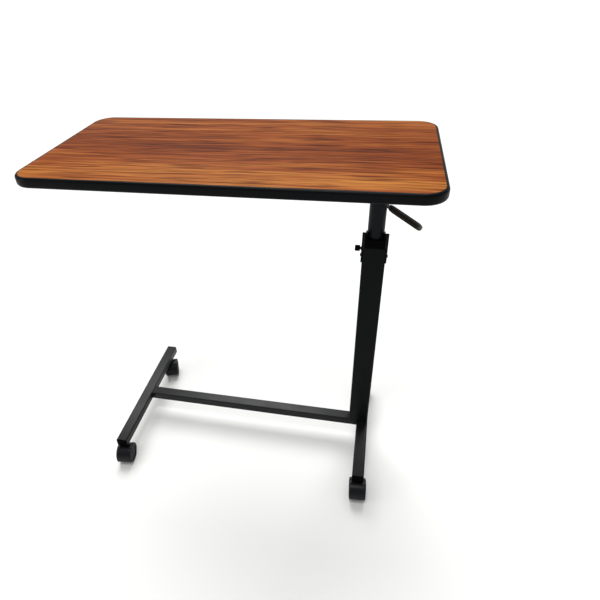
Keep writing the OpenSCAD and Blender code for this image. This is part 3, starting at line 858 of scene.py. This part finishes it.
def build_cheek_screws():
    """Pan heads on the column's sides, where the CAD node's own heads are."""
    radius, head, recess = 3.7 * MM, 2.3 * MM, 1.3 * MM
    points = node_points("cheek_screws")
    axis_x = middle("mast_tube")[0]
    shell = Shell()
    for side in (-1, 1):
        mine = points[(points[:, 0] - axis_x) * side > 0]
        for group in clusters(mine, 2, 4 * MM):
            height = (group[:, 2].min() + group[:, 2].max()) / 2
            reach = np.abs(group[:, 0] - axis_x).max()
            seat = (axis_x + side * (reach - head), points[:, 1].mean(), height)
            build_screw_head(shell, seat, (side, 0, 0), radius, head, recess)
    return shell.piece("cheek_screw_heads", 40)


def build_plate_screws():
    """Pan heads under the mounting plate, one at each screw of the CAD node."""
    radius, head, recess = 4.5 * MM, 2.3 * MM, 1.4 * MM
    points = node_points("plate_screws")
    low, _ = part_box("mount_plate")
    shell = Shell()
    for row in clusters(points, 1, 20 * MM):
        for group in clusters(row, 0, 20 * MM):
            centre = (group.min(0) + group.max(0)) / 2
            seat = (centre[0], centre[1], low.z)
            build_screw_head(shell, seat, (0, 0, -1), radius, head, recess)
    return shell.piece("plate_screw_heads", 40)


# Operators ------------------------------------------------------------------------

TUBE_END = 0.4 * MM


class OVERBED_OT_finishes(bpy.types.Operator):
    """Make the materials and paint the CAD parts that keep their own shape"""
    bl_idname = "overbed.finishes"
    bl_label = "Finishes"

    def execute(self, context):
        make_materials()
        zinc_pins = [f"{pin}_{corner}" for pin in ("caster_socket", "axle") for corner in CORNERS]
        for finish, nodes in {
                "chipboard": ["tabletop_board"], "backing": ["backing_sheet"],
                "frame": ["column_foot_plate"], "mast": ["gas_spring_cylinder"],
                "zinc": ["gas_spring_nut", "mast_head_block", *zinc_pins],
                "chrome": ["gas_spring_rod", "release_pin"], "brass": ["gas_spring_piston"],
                "natural": ["mast_shoe"]}.items():
            paint(nodes, finish)
        return {"FINISHED"}


class OVERBED_OT_top(bpy.types.Operator):
    """Build the laminate, its edge strip and the mounting plate under the top"""
    bl_idname = "overbed.top"
    bl_label = "Top"

    def execute(self, context):
        sizes = context.scene.overbed_sizes
        place(build_laminate(sizes), "mast", ["laminate_sheet"], "laminate")
        place(build_edge_strip(sizes), "mast", ["edge_strip"], "edge")
        for node in ("mount_plate", "mount_hub"):
            place(rounded_copy(node, f"{node}_rounded", sizes.small_round), "mast", [node],
                  "frame")
        place(build_plate_screws(), "mast", ["plate_screws"], "zinc")
        return {"FINISHED"}


class OVERBED_OT_mast(bpy.types.Operator):
    """Build the mast, the release lever and its grip"""
    bl_idname = "overbed.mast"
    bl_label = "Mast and lever"

    def execute(self, context):
        for node, shape, width, body, slot, finish in (
                ("mast_tube", "slotted", 0.3 * MM, "mast", "mast_paint", "mast"),
                ("lever_pivot_pin", "turned", 0.5 * MM, "mast", "mast_paint", "mast"),
                ("release_lever", "bar", 0.5 * MM, "lever", "lever_steel", "frame")):
            place(rounded_copy(node, f"{node}_{shape}", width), body, [node], finish)
        place(build_grip(), "lever", ["lever_grip"], "grip")
        return {"FINISHED"}


class OVERBED_OT_column(bpy.types.Operator):
    """Build the column, its head and the thumb screw"""
    bl_idname = "overbed.column"
    bl_label = "Column"

    def execute(self, context):
        sizes = context.scene.overbed_sizes
        edge = quarter(TUBE_END, 3)
        place(bar("column_tube_drawn", "column_tube", 2, sizes.column_corner, edge), "base",
              ["column_tube"], "column")
        place(rounded_copy("guide_block", "guide_block_moulded", sizes.small_round), "base",
              ["guide_block"], "plastic")
        for side in SIDES:
            place(rounded_copy(f"{side}_cheek", f"{side}_cheek_rounded", sizes.small_round),
                  "base", [f"{side}_cheek"], "column")
        place(build_cheek_screws(), "base", ["cheek_screws"], "frame")
        place(build_bush(), "base", ["thumb_screw_bush"], "frame")
        place(build_stud(sizes), "thumb_stud", ["thumb_screw_stud"], "frame")
        place(build_knob(sizes), "thumb_knob", ["thumb_screw_knob"], "plastic")
        return {"FINISHED"}


class OVERBED_OT_base(bpy.types.Operator):
    """Build the foot rails, the cross tube, their end plugs and the welds"""
    bl_idname = "overbed.base"
    bl_label = "Base"

    def execute(self, context):
        sizes = context.scene.overbed_sizes
        edge = quarter(TUBE_END, 3)
        for side in SIDES:
            node = f"{side}_foot_rail"
            place(bar(f"{side}_foot_rail_tube", node, 1, sizes.tube_corner, edge), "base",
                  [node], "frame")
        place(bar("cross_tube_drawn", "cross_tube", 0, sizes.tube_corner, edge), "base",
              ["cross_tube"], "frame")
        for corner in CORNERS:
            node = f"end_plug_{corner}"
            place(build_plug(f"end_plug_cap_{corner}", node, corner.endswith("front")), "base",
                  [node], "plastic")
        welds = build_welds(sizes)
        welds.data.materials.append(MATERIALS["frame"])
        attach(welds, "base")
        return {"FINISHED"}


class OVERBED_OT_casters(bpy.types.Operator):
    """Build the four casters: hood, stem and twin wheels"""
    bl_idname = "overbed.casters"
    bl_label = "Casters"

    def execute(self, context):
        sizes = context.scene.overbed_sizes
        for corner in CORNERS:
            place(build_hood(corner, sizes), f"caster_{corner}", [f"caster_hood_{corner}"],
                  "hood")
            place(build_stem(corner), "base", [f"caster_stem_{corner}"], "zinc")
            for letter in "ab":
                node = f"wheel_{corner}_{letter}"
                place(build_wheel(corner, letter), node, [node], "wheel")
        return {"FINISHED"}


def add_lamp(name, kind, power, aim):
    """Links a lamp that shines along aim."""
    data = bpy.data.lights.new(name, kind)
    data.energy = power
    lamp = bpy.data.objects.new(name, data)
    bpy.context.scene.collection.objects.link(lamp)
    x, y, z = aim
    lamp.rotation_euler = (math.atan2(math.hypot(x, y), -z), 0, math.atan2(y, x) - math.pi / 2)
    return lamp


def area_light(name, location, target, size, power):
    """A square soft box of a size in metres and a power in watts that faces a target."""
    lamp = add_lamp(name, "AREA", power, np.array(target) - np.array(location))
    lamp.location = location
    lamp.data.shape = "SQUARE"
    lamp.data.size = size


def soft_sun(name, towards, width, power):
    """A distant lamp, seen in a direction from the object and as wide as an angle in degrees."""
    lamp = add_lamp(name, "SUN", power, -np.array(towards))
    lamp.data.angle = math.radians(width)


class OVERBED_OT_stage(bpy.types.Operator):
    """Build the floor, the soft lights and the camera"""
    bl_idname = "overbed.stage"
    bl_label = "Stage"

    def execute(self, context):
        floor_half, daylight, white = 30, 0.5, 1
        scene = context.scene
        shell = Shell()
        span = np.linspace(-floor_half, floor_half, 9)
        x, y = np.meshgrid(span, span, indexing="ij")
        shell.grid(np.stack([x, y, np.zeros_like(x)], -1), wrap_columns=False)
        floor = shell.piece("studio_floor")
        material, _, _, shader = begin("pale_studio_floor")
        shader.inputs["Base Color"].default_value = (*hex_linear("#E4E4E2"), 1)
        shader.inputs["Roughness"].default_value = 0.9
        shader.inputs["Specular IOR Level"].default_value = 0.1
        floor.data.materials.append(material)
        world = bpy.data.worlds.new("studio")
        world.use_nodes = True
        sky = world.node_tree
        backdrop = sky.nodes["Background"]
        backdrop.inputs["Color"].default_value = (1, 1, 1, 1)
        # the camera sees a white backdrop, while the object is lit at half its strength
        seen = add_node(sky, "LightPath").outputs["Is Camera Ray"]
        strength = add_node(sky, "MapRange", {
            "Value": seen, "To Min": daylight, "To Max": white})
        sky.links.new(strength.outputs["Result"], backdrop.inputs["Strength"])
        scene.world = world
        mast = middle("mast_tube") * [1, 1, 0]
        soft_sun("key_from_behind", (-0.15, 0.55, 0.85), 45, 3.2)
        area_light("soft_box_above", mast + [-0.3, -1.0, 3.2], mast + [-0.2, 0, 0.6], 0.7, 25)
        area_light("soft_box_left", mast + [-2.4, -1.2, 1.4], mast + [0, 0, 0.7], 0.8, 8)
        camera_data = bpy.data.cameras.new("camera")
        camera_data.sensor_width = 36
        camera_data.lens = 29.95
        camera_data.shift_x = 0.0651
        camera_data.shift_y = 0.0124
        camera = bpy.data.objects.new("camera", camera_data)
        camera.location = mast + [-0.0100, -0.9549, 1.1523]
        camera.rotation_euler = [math.radians(a) for a in (53.52, 2.91, 12.39)]
        scene.collection.objects.link(camera)
        scene.camera = camera
        scene.view_settings.view_transform = "Standard"
        return {"FINISHED"}


class OVERBED_PT_panel(bpy.types.Panel):
    """Settings and steps of the overbed table"""
    bl_label = "Overbed table"
    bl_idname = "OVERBED_PT_panel"
    bl_space_type = "VIEW_3D"
    bl_region_type = "UI"
    bl_category = "Overbed table"

    def draw(self, context):
        for group in (context.scene.overbed_sizes, context.scene.overbed_colours):
            box = self.layout.box()
            for name in group.__annotations__:
                box.prop(group, name)
        for operator in OPERATORS:
            self.layout.operator(operator.bl_idname)


OPERATORS = (OVERBED_OT_finishes, OVERBED_OT_top, OVERBED_OT_mast, OVERBED_OT_column,
             OVERBED_OT_base, OVERBED_OT_casters, OVERBED_OT_stage)
CLASSES = (OverbedSizes, OverbedColours, *OPERATORS, OVERBED_PT_panel)


def register():
    for cls in CLASSES:
        bpy.utils.register_class(cls)
    bpy.types.Scene.overbed_sizes = bpy.props.PointerProperty(type=OverbedSizes)
    bpy.types.Scene.overbed_colours = bpy.props.PointerProperty(type=OverbedColours)


def unregister():
    del bpy.types.Scene.overbed_colours
    del bpy.types.Scene.overbed_sizes
    for cls in reversed(CLASSES):
        bpy.utils.unregister_class(cls)


def main():
    """Registers the add-on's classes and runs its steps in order."""
    register()
    bpy.ops.overbed.finishes()
    bpy.ops.overbed.top()
    bpy.ops.overbed.mast()
    bpy.ops.overbed.column()
    bpy.ops.overbed.base()
    bpy.ops.overbed.casters()
    bpy.ops.overbed.stage()


if __name__ == "__main__":
    main()
